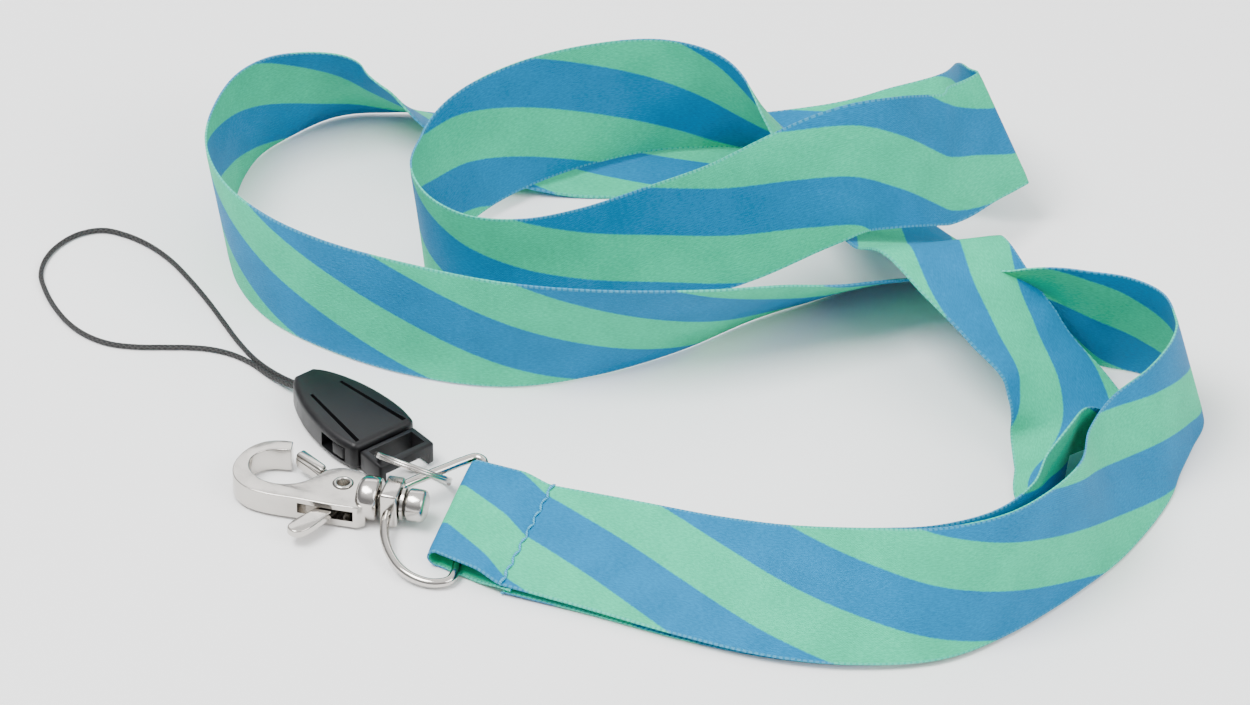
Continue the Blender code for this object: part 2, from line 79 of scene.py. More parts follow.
# Strap stations, as in part.py: x, y, lift of the lower edge, roll of the width from upright.
FRONT = [
    (-18, -65, 2.6, -76), (-2, -72, 2.0, -70), (14, -80, 1.7, -62), (29, -87, 1.4, -50),
    (43, -91, 1.2, -36), (57, -92, 1.0, -20), (69, -87, 0.7, -8), (78, -79, 0.5, -6),
    (85, -70, 0.5, -10), (90, -58, 0.4, -24), (95, -47.5, 0.4, -26), (100, -39.5, 0.4, -14),
    (104, -30, 0.4, -10), (105.5, -22, 0.4, -14), (103, -14, 0.4, -13), (96, -9, 0.4, -10),
]
SWEEP = [
    (87, -6, 0.4, -12), (78, 1, 0.4, -33), (69, 8.5, 0.4, -48), (59, 13, 0.4, -53),
    (49, 12, 0.4, -54), (38, 7, 0.4, -49), (29, 3, 0.4, -43), (14, -5, 0.4, -30),
    (-5, -11, 0.4, -15), (-23, -12, 0.4, -3), (-41, -7, 0.4, 2), (-57, 1, 0.4, 0),
    (-68, 10, 0.4, -2), (-75, 21, 0.4, -6), (-78, 34, 0.4, -9), (-77, 47, 0.4, -6),
    (-74, 57, 0.4, 0), (-69, 64, 0.4, 9), (-61, 69, 0.4, 20), (-53, 71.5, 0.4, 33),
    (-45, 70, 0.4, 45), (-36, 67, 0.4, 62), (-25, 64, 0.4, 80), (-11, 63, 0.4, 89),
    (5, 63, 0.4, 90), (20, 64, 0.4, 92), (36, 64, 1.2, 96), (50, 61, 3, 108),
]
# Middle of the strap and direction of its width through the upright U-turn: x, y, z, then the direction.
TURN = [
    (60, 57, 11.5, -0.14, -0.86, -0.50), (67.5, 48.6, 18.5, 0.25, -0.50, -0.83),
    (70.6, 46.3, 20.2, 0.38, -0.25, -0.89), (72.4, 44.0, 21.3, 0.40, -0.20, -0.89),
    (70.6, 41.6, 21.6, 0.38, -0.20, -0.90), (66.0, 36.5, 22.5, 0.33, -0.28, -0.90),
]
TOP = [
    (61, 30, 12.5, 208), (52, 22.5, 17.0, 206), (43, 18.3, 18.0, 203), (33, 16.5, 14.0, 200),
    (20, 14.5, 7.8, 196), (6, 12.5, 3.5, 192), (-8, 9, 1, 188), (-20, 7, 0.4, 184),
    (-30, 9, 0.4, 181), (-37, 16, 0.4, 178), (-39, 26, 0.4, 172), (-36, 36, 0.6, 168),
    (-30, 45, 2.6, 163), (-20, 54, 3.0, 163), (-6, 62, 2.2, 169), (7, 65.5, 1.6, 177),
    (17, 64, 1.6, 188), (26, 59.5, 1.8, 206), (34, 52, 4, 228),
]
DROP = [
    (42, 40, 5, 242), (49, 27, 6.5, 250), (55, 14, 11.5, 256), (60, 3, 21.0, 262),
    (66, -7, 19.0, 260), (73, -15, 13.6, 257), (80, -22.5, 7, 254), (84.0, -31, 5, 267),
    (84, -40, 2, 294), (80.8, -48.5, 0.6, 325), (80.8, -57, 0.4, 353), (79, -66, 0.4, 367),
    (75.5, -76, 0.4, 366),
]
UNDER = [
    (68, -85, 0.4, 368), (56.5, -90.5, 0.4, 380), (43, -90, 0.4, 396), (29, -86, 0.4, 410),
    (14, -79.3, 0.4, 422), (-2, -71.4, 0.5, 430), (-18, -64.8, 0.9, 436),
]
FOLD_NEAR = Vector((-34.6, -67.6, 2.25))
FOLD_FAR = Vector((-26.9, -44.4, 5.7))
LOOP_LOW_Z, LOOP_LOW_Y, LOOP_RISE = 1.3, -73.5, 0.15
LOOP_PATH = [
    (-31.3, -71.2), (-32.4, -73.2), (-35.2, -73.8), (-38.6, -72.6), (-41.4, -70.0), (-43.2, -66.6),
    (-44.2, -63.0), (-44.4, -59.0), (-43.8, -55.6), (-42.2, -50.2), (-40.0, -48.2), (-37.0, -46.4),
    (-33.4, -44.4), (-30.2, -42.6), (-27.6, -41.6), (-26.3, -42.6), (-26.5, -44.9), (-27.5, -50.4),
    (-28.7, -57.0), (-29.9, -63.6), (-30.7, -68.0),
]
CORD_OUT = [
    (-61.2, -13.2), (-65.8, -8.2), (-70.0, -3.0), (-73.4, 2.8), (-76.4, 9.2), (-79.6, 16.0),
    (-83.4, 23.2), (-87.2, 29.4), (-91.6, 34.4), (-96.0, 37.6), (-100.4, 39.2), (-104.8, 38.0),
    (-108.6, 34.4), (-111.0, 29.6), (-111.7, 24.4), (-110.6, 19.2), (-108.4, 13.4), (-105.4, 8.2),
    (-101.8, 4.4), (-97.6, 2.0), (-92.4, 1.0), (-87.0, 0.9), (-82.4, 0.8), (-78.4, 0.2),
    (-74.4, -1.4), (-70.9, -4.0), (-66.6, -9.0), (-62.1, -13.9),
]
HOOK_OUTLINE = [
    (-1.4, 3.6), (-2.8, 5.0), (-5.5, 6.4), (-8.5, 6.6), (-11.0, 5.4), (-12.4, 3.2), (-15.0, 0.2),
    (-18.6, -1.2), (-22.5, -0.6), (-25.3, 1.9), (-26.0, 4.8), (-24.9, 7.2), (-22.9, 8.6), (-20.2, 9.1),
    (-19.4, 9.3), (-19.8, 12.0), (-21.8, 11.9), (-24.8, 10.8), (-27.2, 8.2), (-28.4, 4.8), (-28.4, 1.2),
    (-27.0, -1.8), (-24.0, -4.0), (-20.0, -4.8), (-14.0, -4.8), (-8.0, -5.0), (-2.6, -4.9), (-1.4, -3.8),
]
HOOK_SHARP = {0, 14, 15, 26, 27}
LEVER_OUTLINE = [
    (-18.6, 9.1), (-12.6, 4.7), (-10.4, 2.2), (-10.2, 0.4), (-10.3, -4.0), (-13.6, -9.6), (-14.0, -11.8),
    (-12.4, -12.9), (-10.6, -12.1), (-7.6, -6.0), (-6.0, -1.0), (-4.2, 0.6), (-4.0, 3.0), (-5.6, 4.8),
    (-8.6, 5.2), (-12.4, 7.6), (-17.5, 11.0),
]
GATE_BAR = [(-18.6, 9.1), (-12.4, 5.3), (-11.8, 7.1), (-17.5, 11.0)]
SOCKET_OUTLINE = [
    (0.0, 2.1), (1.6, 3.6), (6.0, 5.7), (12.0, 7.3), (20.0, 7.9), (25.4, 7.1),
    (25.4, -7.1), (20.0, -7.9), (12.0, -7.3), (6.0, -5.7), (1.6, -3.6), (0.0, -2.1),
]
SOCKET_SHARP = {0, 5, 6, 11}
ARM_OUTLINE = [
    (25.5, 2.9), (25.5, 4.7), (23.0, 4.7), (22.4, 7.7), (19.6, 7.9), (16.6, 5.2), (14.6, 4.6), (14.6, 3.0),
]


# ---------- geometry helpers ----------

def place(point):
    return (Vector(point) - ORIGIN) * MM


def turned(at, angle, point):
    x, y, z = point
    return Vector((
        at.x + x * math.cos(angle) - y * math.sin(angle),
        at.y + x * math.sin(angle) + y * math.cos(angle),
        at.z + z,
    ))


def on_hook(h, k, z):
    return turned(HOOK_AT, HOOK_ANGLE, (h, k, z))


def on_clip(p, q, z):
    return turned(CLIP_AT, CLIP_ANGLE, (p, q, z))


def swivel_axis():
    return on_hook(1, 0, 0) - on_hook(0, 0, 0)


def clip_axis():
    return on_clip(1, 0, 0) - on_clip(0, 0, 0)


def add_mesh(name, shape, look, smooth=True, uvs=None):
    """A piece from points in the layout's millimetres, with its faces out."""
    points, faces = shape
    mesh = bpy.data.meshes.new(name)
    mesh.from_pydata([place(p) for p in points], [], faces)
    if uvs is not None:
        layer = mesh.uv_layers.new(name="UVMap")
        for face in mesh.polygons:
            for loop, uv in zip(face.loop_indices, uvs[face.index]):
                layer.data[loop].uv = uv
    work = bmesh.new()
    work.from_mesh(mesh)
    bmesh.ops.recalc_face_normals(work, faces=work.faces)
    work.to_mesh(mesh)
    work.free()
    mesh.polygons.foreach_set("use_smooth", [smooth] * len(mesh.polygons))
    made = bpy.data.objects.new(name, mesh)
    bpy.context.scene.collection.objects.link(made)
    if look is not None:
        mesh.materials.append(look)
    return made


def prism(outline, low, high, local):
    count = len(outline)
    points = [local(x, y, low) for x, y in outline] + [local(x, y, high) for x, y in outline]
    faces = [tuple(range(count - 1, -1, -1)), tuple(range(count, 2 * count))]
    faces += [(i, (i + 1) % count, count + (i + 1) % count, count + i) for i in range(count)]
    return points, faces


def skin(count, sides, closed):
    """Faces between rings of points: round to the first ring again, or with both ends capped."""
    faces = []
    for row in range(count if closed else count - 1):
        here, there = row * sides, (row + 1) % count * sides
        for i in range(sides):
            k = (i + 1) % sides
            faces.append((here + i, here + k, there + k, there + i))
    if not closed:
        faces.append(tuple(range(sides - 1, -1, -1)))
        faces.append(tuple(range((count - 1) * sides, count * sides)))
    return faces


def turned_solid(start, axis, profile, sides=48, closed=False):
    """A body of revolution: an open profile gets flat ends, a closed one is a ring."""
    axis = Vector(axis).normalized()
    side = axis.orthogonal().normalized()
    up = axis.cross(side)
    points = []
    for far, radius in profile:
        for step in range(sides):
            angle = 2 * math.pi * step / sides
            out = side * math.cos(angle) + up * math.sin(angle)
            points.append(Vector(start) + axis * far + out * radius)
    count = len(profile)
    return points, skin(count, sides, closed)


def tube(path, radius, sides=16, closed=False):
    count = len(path)
    points = []
    for i, here in enumerate(path):
        before = path[(i - 1) % count] if closed or i else here
        after = path[(i + 1) % count] if closed or i < count - 1 else here
        along = (after - before).normalized()
        side = along.cross(Vector((0.0, 0.0, 1.0))).normalized()
        up = side.cross(along)
        size = radius(i / (count - 1)) if callable(radius) else radius
        for step in range(sides):
            angle = 2 * math.pi * step / sides
            points.append(here + side * size * math.cos(angle) + up * size * math.sin(angle))
    return points, skin(count, sides, closed)


def smooth_path(points, steps, closed=False):
    """A centripetal Catmull-Rom curve through the points, measured on their first three values."""
    count = len(points)
    if closed:
        padded = [points[-1], *points, points[0], points[1]]
    else:
        padded = [2 * points[0] - points[1], *points, 2 * points[-1] - points[-2]]
    found = []
    for i in range(1, count + 1 if closed else count):
        four = padded[i - 1:i + 3]
        knots = [0.0]
        for a, b in zip(four, four[1:]):
            knots.append(knots[-1] + math.sqrt(Vector((b - a)[:3]).length))
        for step in range(steps):
            t = knots[1] + (knots[2] - knots[1]) * step / steps
            level = list(four)
            for degree in (1, 2, 3):
                level = [
                    mixed(level[j], level[j + 1], *span(knots, j, degree), t) for j in range(len(level) - 1)
                ]
            found.append(level[0])
    if not closed:
        found.append(points[-1])
    return found


def span(knots, j, degree):
    if degree == 2:
        return knots[j], knots[j + 2]
    if degree == 3:
        return knots[1], knots[2]
    return knots[j], knots[j + 1]


def mixed(a, b, low, high, t):
    return a * ((high - t) / (high - low)) + b * ((t - low) / (high - low))


def rounded(outline, sharp, steps=4):
    """The outline with a curve through its points, cut at the sharp corners."""
    count = len(outline)
    marks = sorted(sharp)
    found = []
    for a, b in zip(marks, marks[1:] + [marks[0] + count]):
        run = [Vector((*outline[i % count], 0.0)) for i in range(a, b + 1)]
        if len(run) == 2:
            found.append(run[0])
        else:
            found += smooth_path(run, steps)[:-1]
    return [(p.x, p.y) for p in found]


def combine(target, operation, name, shape):
    helper = add_mesh(name, shape, None, smooth=True)
    helper.hide_render = True
    helper.display_type = "WIRE"
    tool = target.modifiers.new(name, "BOOLEAN")
    tool.operation = operation
    tool.solver = "EXACT"
    tool.object = helper


def bevel(target, width, segments=3, angle=40):
    tool = target.modifiers.new("edges", "BEVEL")
    tool.width = width * MM
    tool.segments = segments
    tool.limit_method = "ANGLE"
    tool.angle_limit = math.radians(angle)
    tool.harden_normals = False


def shade_by_angle(target, angle=35):
    """Smooth shading with crisp corners, after the other modifiers."""
    tool = target.modifiers.new("creases", "EDGE_SPLIT")
    tool.split_angle = math.radians(angle)


def finish_piece(piece, body, *nodes):
    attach(piece, body)
    if nodes:
        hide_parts(*nodes)
    return piece


# ---------- materials ----------

def new_look(name):
    made = bpy.data.materials.new(name)
    made.use_nodes = True
    tree = made.node_tree
    return made, tree, tree.nodes["Principled BSDF"]


def node(tree, kind, inputs=None, **settings):
    made = tree.nodes.new(kind)
    for key, value in settings.items():
        setattr(made, key, value)
    for key, value in (inputs or {}).items():
        if isinstance(value, bpy.types.NodeSocket):
            tree.links.new(value, made.inputs[key])
        else:
            made.inputs[key].default_value = value
    return made


def maths(tree, operation, a, b=0.0, c=0.0):
    made = node(tree, "ShaderNodeMath", operation=operation)
    for i, value in enumerate((a, b, c)):
        if isinstance(value, bpy.types.NodeSocket):
            tree.links.new(value, made.inputs[i])
        else:
            made.inputs[i].default_value = value
    return made.outputs[0]


def colour_mix(tree, share, a, b, blend_type="MIX"):
    made = node(tree, "ShaderNodeMix", data_type="RGBA", blend_type=blend_type)
    for key, value in ((0, share), (6, a), (7, b)):
        if isinstance(value, bpy.types.NodeSocket):
            tree.links.new(value, made.inputs[key])
        else:
            made.inputs[key].default_value = value
    return made.outputs[2]


def ranged(tree, value, low, high, to_low=0.0, to_high=1.0, smooth=True):
    made = node(tree, "ShaderNodeMapRange", interpolation_type="SMOOTHSTEP" if smooth else "LINEAR")
    tree.links.new(value, made.inputs["Value"])
    for key, number in (("From Min", low), ("From Max", high), ("To Min", to_low), ("To Max", to_high)):
        made.inputs[key].default_value = number
    return made.outputs[0]


def strap_look():
    """Printed satin: slanted blue and green bands, fine weft grain, cast selvedge with tiny loops."""
    made, tree, shader = new_look("printed satin strap")
    uv = node(tree, "ShaderNodeUVMap", uv_map="UVMap").outputs[0]
    parts = node(tree, "ShaderNodeSeparateXYZ", {0: uv})
    along = maths(tree, "MULTIPLY", parts.outputs[0], 1000.0)
    across = maths(tree, "MULTIPLY", parts.outputs[1], 1000.0)
    flat = node(tree, "ShaderNodeCombineXYZ", {0: along, 1: across}).outputs[0]
    bleed = node(tree, "ShaderNodeTexNoise", {"Vector": flat, "Scale": 2.2, "Detail": 2.0})
    wander = maths(tree, "MULTIPLY", maths(tree, "SUBTRACT", bleed.outputs[0], 0.5), 0.35)
    slanted = maths(tree, "MULTIPLY_ADD", along, BANDS_SLOPE, maths(tree, "ADD", across, wander))
    phase = maths(tree, "FRACT", maths(tree, "MULTIPLY_ADD", slanted, 1.0 / BANDS_PITCH, BANDS_SHIFT))
    ramp = maths(tree, "ABSOLUTE", maths(tree, "SUBTRACT", phase, 0.5))
    band = ranged(tree, ramp, 0.241, 0.259)
    blue = (0.000, 0.170, 0.370, 1.0)
    green = (0.015, 0.500, 0.270, 1.0)
    printed = colour_mix(tree, band, blue, green)
    mottle = node(tree, "ShaderNodeTexNoise", {"Vector": flat, "Scale": 0.12, "Detail": 3.0})
    shade = ranged(tree, mottle.outputs[0], 0.3, 0.7, 0.93, 1.06)
    squeezed = node(tree, "ShaderNodeMapping", {"Vector": flat, "Scale": (1.1, 4.2, 1.0)}).outputs[0]
    fine = {"Vector": squeezed, "Scale": 1.0, "Detail": 3.0, "Roughness": 0.6}
    grain = node(tree, "ShaderNodeTexNoise", fine)
    thread = ranged(tree, grain.outputs[0], 0.35, 0.68, 0.86, 1.12)
    tint = node(tree, "ShaderNodeCombineColor", {0: maths(tree, "MULTIPLY", shade, thread),
                                                 1: maths(tree, "MULTIPLY", shade, thread),
                                                 2: maths(tree, "MULTIPLY", shade, thread)}).outputs[0]
    coloured = colour_mix(tree, 1.0, printed, tint, "MULTIPLY")
    from_middle = maths(tree, "ABSOLUTE", across)
    rim = ranged(tree, from_middle, 11.95, 12.25)
    teeth = maths(tree, "SINE", maths(tree, "MULTIPLY", along, 2 * math.pi / 1.0))
    tooth = ranged(tree, teeth, 0.1, 0.6)
    pale = colour_mix(tree, 0.22, coloured, (0.20, 0.62, 0.72, 1.0))
    dark = colour_mix(tree, 0.35, coloured, (0.01, 0.20, 0.30, 1.0))
    edge = colour_mix(tree, tooth, pale, dark)
    tree.links.new(colour_mix(tree, rim, coloured, edge), shader.inputs["Base Color"])
    weft = maths(tree, "SINE", maths(tree, "MULTIPLY", along, 2 * math.pi / 0.55))
    warp = maths(tree, "SINE", maths(tree, "MULTIPLY", across, 2 * math.pi / 0.42))
    weave = maths(tree, "MULTIPLY", weft, warp)
    height = maths(tree, "MULTIPLY_ADD", weave, 0.25, grain.outputs[0])
    height = maths(tree, "MULTIPLY_ADD", maths(tree, "MULTIPLY", rim, teeth), 0.35, height)
    bump = node(tree, "ShaderNodeBump", {"Strength": 0.45, "Distance": 0.00016, "Height": height})
    tree.links.new(bump.outputs[0], shader.inputs["Normal"])
    shader.inputs["Roughness"].default_value = 0.62
    shader.inputs["Specular IOR Level"].default_value = 0.12
    shader.inputs["Sheen Weight"].default_value = 0.02
    shader.inputs["Sheen Roughness"].default_value = 0.45
    shader.inputs["Sheen Tint"].default_value = (0.80, 0.95, 1.0, 1.0)
    return made


def metal_look(name, colour, roughness, scratch=0.05):
    made, tree, shader = new_look(name)
    place_on = node(tree, "ShaderNodeTexCoord").outputs["Object"]
    soft = node(tree, "ShaderNodeTexNoise", {"Vector": place_on, "Scale": 260.0, "Detail": 3.0})
    fine = node(tree, "ShaderNodeTexNoise", {"Vector": place_on, "Scale": 2600.0, "Detail": 2.0})
    rough = ranged(tree, soft.outputs[0], 0.3, 0.75, roughness - scratch, roughness + scratch * 1.6)
    tree.links.new(rough, shader.inputs["Roughness"])
    height = maths(tree, "MULTIPLY_ADD", fine.outputs[0], 0.2, soft.outputs[0])
    bump = node(tree, "ShaderNodeBump", {"Strength": 0.12, "Distance": 0.0002, "Height": height})
    tree.links.new(bump.outputs[0], shader.inputs["Normal"])
    worn = ranged(tree, soft.outputs[0], 0.25, 0.8, 0.0, 0.35)
    dull = tuple(c * 0.82 for c in colour[:3]) + (1.0,)
    tree.links.new(colour_mix(tree, worn, colour, dull), shader.inputs["Base Color"])
    shader.inputs["Metallic"].default_value = 1.0
    return made


def plastic_look():
    made, tree, shader = new_look("black moulded plastic")
    place_on = node(tree, "ShaderNodeTexCoord").outputs["Object"]
    grain = node(tree, "ShaderNodeTexNoise", {"Vector": place_on, "Scale": 3200.0, "Detail": 2.0})
    smear = node(tree, "ShaderNodeTexNoise", {"Vector": place_on, "Scale": 150.0, "Detail": 3.0})
    bump = node(tree, "ShaderNodeBump", {"Strength": 0.22, "Distance": 0.00006, "Height": grain.outputs[0]})
    tree.links.new(bump.outputs[0], shader.inputs["Normal"])
    rough = ranged(tree, smear.outputs[0], 0.3, 0.7, 0.36, 0.48)
    tree.links.new(rough, shader.inputs["Roughness"])
    dark = colour_mix(tree, ranged(tree, smear.outputs[0], 0.2, 0.8), (0.005, 0.005, 0.006, 1.0),
                      (0.010, 0.010, 0.011, 1.0))
    tree.links.new(dark, shader.inputs["Base Color"])
    shader.inputs["Specular IOR Level"].default_value = 0.3
    return made


def braid_look():
    """Two sets of fine yarns crossing round the cord."""
    made, tree, shader = new_look("black braided cord")
    uv = node(tree, "ShaderNodeUVMap", uv_map="UVMap").outputs[0]
    parts = node(tree, "ShaderNodeSeparateXYZ", {0: uv})
    along = maths(tree, "MULTIPLY", parts.outputs[0], 1000.0 * 2 * math.pi / 1.1)
    around = maths(tree, "MULTIPLY", parts.outputs[1], 2 * math.pi * 4)
    left = maths(tree, "SINE", maths(tree, "ADD", along, around))
    right = maths(tree, "SINE", maths(tree, "SUBTRACT", along, around))
    yarns = maths(tree, "MAXIMUM", left, right)
    bump = node(tree, "ShaderNodeBump", {"Strength": 0.9, "Distance": 0.0001, "Height": yarns})
    tree.links.new(bump.outputs[0], shader.inputs["Normal"])
    lit = ranged(tree, yarns, 0.0, 1.0)
    dark = colour_mix(tree, lit, (0.006, 0.006, 0.007, 1.0), (0.030, 0.029, 0.028, 1.0))
    tree.links.new(dark, shader.inputs["Base Color"])
    shader.inputs["Roughness"].default_value = 0.62
    return made


def thread_look():
    made, tree, shader = new_look("sewing thread")
    place_on = node(tree, "ShaderNodeTexCoord").outputs["Object"]
    twist = node(tree, "ShaderNodeTexWave", {"Vector": place_on, "Scale": 900.0, "Distortion": 1.0},
                 wave_type="BANDS", bands_direction="DIAGONAL")
    bump = node(tree, "ShaderNodeBump", {"Strength": 0.6, "Distance": 0.00008, "Height": twist.outputs[1]})
    tree.links.new(bump.outputs[0], shader.inputs["Normal"])
    hue = colour_mix(tree, twist.outputs[1], (0.015, 0.20, 0.38, 1.0), (0.05, 0.42, 0.62, 1.0))
    tree.links.new(hue, shader.inputs["Base Color"])
    shader.inputs["Roughness"].default_value = 0.5
    return made


def black_thread_look():
    made, tree, shader = new_look("black yarn")
    place_on = node(tree, "ShaderNodeTexCoord").outputs["Object"]
    yarn = node(tree, "ShaderNodeTexWave", {"Vector": place_on, "Scale": 700.0, "Distortion": 1.5},
                wave_type="BANDS", bands_direction="DIAGONAL")
    bump = node(tree, "ShaderNodeBump", {"Strength": 0.7, "Distance": 0.0001, "Height": yarn.outputs[1]})
    tree.links.new(bump.outputs[0], shader.inputs["Normal"])
    shader.inputs["Base Color"].default_value = (0.015, 0.015, 0.015, 1.0)
    shader.inputs["Roughness"].default_value = 0.8
    return made


STRAP = strap_look()
NICKEL = metal_look("bright nickel", (0.56, 0.535, 0.50, 1.0), 0.14)
STEEL = metal_look("nickel-plated steel", (0.52, 0.50, 0.47, 1.0), 0.20)
PLASTIC = plastic_look()
BRAID = braid_look()
THREAD = thread_look()
THREAD_BLACK = black_thread_look()


# ---------- strap ----------

def rolled_strap(stations, steps):
    """Middle points and unit widths along stations given by their lift and roll."""
    half = STRAP_WIDTH / 2
    knots = [
        Vector((x, y, lift + half * abs(math.cos(math.radians(roll))), roll)) for x, y, lift, roll in stations
    ]
    path = smooth_path(knots, steps)
    rulings = []
    for i, here in enumerate(path):
        along = path[min(i + 1, len(path) - 1)].xyz - path[max(i - 1, 0)].xyz
        along.normalize()
        rise = Vector((0.0, 0.0, 1.0))
        upright = (rise - along * along.z).normalized()
        aside = along.cross(rise).normalized()
        roll = math.radians(here.w)
        rulings.append((here.xyz, upright * math.cos(roll) + aside * math.sin(roll)))
    return rulings


def laid_strap(steps=STEPS):
    """Middle points and unit widths of the strap from the top of the seam to the bottom of the seam."""
    first = rolled_strap(FRONT + SWEEP, steps)
    second = rolled_strap(TOP + DROP + UNDER, steps)
    ends = [first[-1 - steps], first[-1]], [second[0], second[steps]]
    knots = [Vector((*middle, *width)) for middle, width in ends[0]]
    knots += [Vector(turn) for turn in TURN]
    knots += [Vector((*middle, *width)) for middle, width in ends[1]]
    bend = smooth_path(knots, steps)[steps + 1:-1 - steps]
    return first + [(Vector(k[:3]), Vector(k[3:]).normalized()) for k in bend] + second


def folded_end(seam):
    seam_mid, seam_width = seam
    fold_mid = (FOLD_NEAR + FOLD_FAR) / 2
    fold_width = (FOLD_FAR - FOLD_NEAR).normalized()
    out = (fold_mid - seam_mid)
    out = (out - fold_width * out.dot(fold_width)).normalized()
    up = out.cross(fold_width)
    if up.z < 0:
        up = -up
    tail = []
    top = []
    shares = [i / 20 for i in range(20)]
    for share in shares:
        middle = seam_mid + (fold_mid - seam_mid) * share
        width = (seam_width * (1 - share) + fold_width * share).normalized()
        spread = min(1.0, share / 0.4)
        spread = spread * spread * (3 - 2 * spread)
        top.append((middle + up * WRAP_R * spread, width))
        tail.append((middle - up * (WRAP_R * spread + SEAM_STEP * (1 - spread)), width))
    beyond = seam_mid - (fold_mid - seam_mid) * 0.12 - up * SEAM_STEP
    tail.insert(0, (beyond, seam_width))
    wrap = []
    for step in range(15):
        angle = math.pi * (step / 14 - 0.5)
        wrap.append((fold_mid + (out * math.cos(angle) + up * math.sin(angle)) * WRAP_R, fold_width))
    top.reverse()
    return tail + wrap + top[:-1]


def strap_shape():
    laid = laid_strap()
    folded = folded_end(laid[0])
    rulings = folded + laid
    last = len(rulings) - 1
    far = [0.0]
    for (a, _), (b, _) in zip(rulings, rulings[1:]):
        far.append(far[-1] + (b - a).length)
    seam_at = far[len(folded)]
    rows = ACROSS + 1
    ring = 2 * rows
    points = []
    for i, (middle, width) in enumerate(rulings):
        along = rulings[min(i + 1, last)][0] - rulings[max(i - 1, 0)][0]
        normal = along.cross(width).normalized()
        for side in (1.0, -1.0):
            for j in range(rows):
                v = (j / ACROSS - 0.5) * (1.0 if side > 0 else -1.0)
                thin = 0.62 if j in (0, ACROSS) else 1.0
                points.append(middle + width * (STRAP_WIDTH * v) + normal * (STRAP_THICK / 2 * side * thin))
    faces = []
    uvs = []
    for row in range(last):
        here, there = ring * row, ring * (row + 1)
        for j in range(ring):
            k = (j + 1) % ring
            faces.append((here + j, here + k, there + k, there + j))
            front = j < rows - 1 or j == ring - 1
            spot = []
            for point, u in ((j, far[row]), (k, far[row]), (k, far[row + 1]), (j, far[row + 1])):
                v = (point % rows) / ACROSS - 0.5
                v = v if point < rows else -v
                u = u - seam_at + (0.0 if front else BACK_SHIFT)
                spot.append((u * MM, (v if front else -v) * STRAP_WIDTH * MM))
            uvs.append(spot)
    faces.append(tuple(range(ring - 1, -1, -1)))
    uvs.append([(0.0, 0.0)] * ring)
    faces.append(tuple(range(last * ring, (last + 1) * ring)))
    uvs.append([(0.0, 0.0)] * ring)
    return (points, faces), uvs, far[-1], laid


def build_strap():
    shape, uvs, length, laid = strap_shape()
    strap = add_mesh("strap_cloth", shape, STRAP, smooth=True, uvs=uvs)
    shade_by_angle(strap, 60)
    finish_piece(strap, "strap", "strap_ribbon")
    return strap, length, laid


def build_stitches(laid):
    """A row of short sewn stitches right across the strap, thicker at both ends."""
    for name, index, side in (("seam_thread_top", 0, 1.0), ("seam_thread_bottom", len(laid) - 1, -1.0)):
        middle, width = laid[index]
        along = (laid[1][0] - laid[0][0]).normalized()
        normal = width.cross(along).normalized()
        if normal.z < 0:
            normal = -normal
        surface = middle + normal * side * (STRAP_THICK / 2 + 0.02)
        points, faces = [], []
        count = 15
        for i in range(count):
            spot = -11.7 + 23.4 * i / (count - 1)
            slant = 0.35 if i % 2 else -0.35
            fat = 0.34 if i in (0, 1, count - 2, count - 1) else 0.27
            start = surface + width * (spot - 0.95) + along * slant
            end = surface + width * (spot + 0.95) - along * slant
            arc = []
            for s in range(7):
                share = s / 6
                lift = 0.34 * math.sin(math.pi * share) - 0.08
                arc.append(start + (end - start) * share + normal * side * lift)
            got, ends = tube(arc, lambda t, f=fat: f * (0.55 + 0.45 * math.sin(math.pi * t)), 8)
            faces += [tuple(len(points) + n for n in face) for face in ends]
            points += got
        thread = add_mesh(name, (points, faces), THREAD)
        node_name = "strap_stitch_top" if side > 0 else "strap_stitch_bottom"
        finish_piece(thread, "strap", node_name)


# ---------- hardware ----------

def loop_point(x, y):
    return Vector((x, y, LOOP_LOW_Z + LOOP_RISE * (y - LOOP_LOW_Y)))


def build_loop():
    corners = [loop_point(x, y) for x, y in LOOP_PATH]
    wire = tube(smooth_path(corners, 8, closed=True), WIRE_R, 20, closed=True)
    loop = add_mesh("loop_casting", wire, NICKEL)
    square = [(1.2, -3.4), (4.6, -3.4), (4.6, 3.4), (1.2, 3.4)]
    block = add_mesh("boss_block", prism(square, AXIS_Z - 3.6, AXIS_Z + 3.6, on_hook), NICKEL)
    bevel(block, 0.55, 3)
    bore = turned_solid(on_hook(-1.0, 0, AXIS_Z), swivel_axis(), [(0, 1.9), (8, 1.9)], 32)
    combine(block, "DIFFERENCE", "boss_bore", bore)
    shade_by_angle(block)
    for piece in (loop, block):
        finish_piece(piece, "loop", "swivel_loop")


def build_swivel():
    start = on_hook(0, 0, AXIS_Z)
    ring = [(4.9, 1.8), (5.6, 1.8), (5.6, 3.1), (5.5, 3.3), (5.0, 3.3), (4.9, 3.1)]
    washer = add_mesh("washer_disc", turned_solid(start, swivel_axis(), ring, 48, closed=True), STEEL)
    shade_by_angle(washer)
    finish_piece(washer, "hook", "swivel_washer")
    profile = [
        (0.9, 1.5), (5.85, 1.5), (5.9, 2.7), (6.1, 3.0), (6.4, 3.1), (8.5, 3.1), (8.9, 3.0), (9.2, 2.75),
        (9.35, 2.4), (9.4, 1.8), (9.4, 0.02),
    ]
    pin = add_mesh("swivel_button", turned_solid(start, swivel_axis(), profile), STEEL)
    shade_by_angle(pin, 50)
    finish_piece(pin, "hook", "swivel_pin")


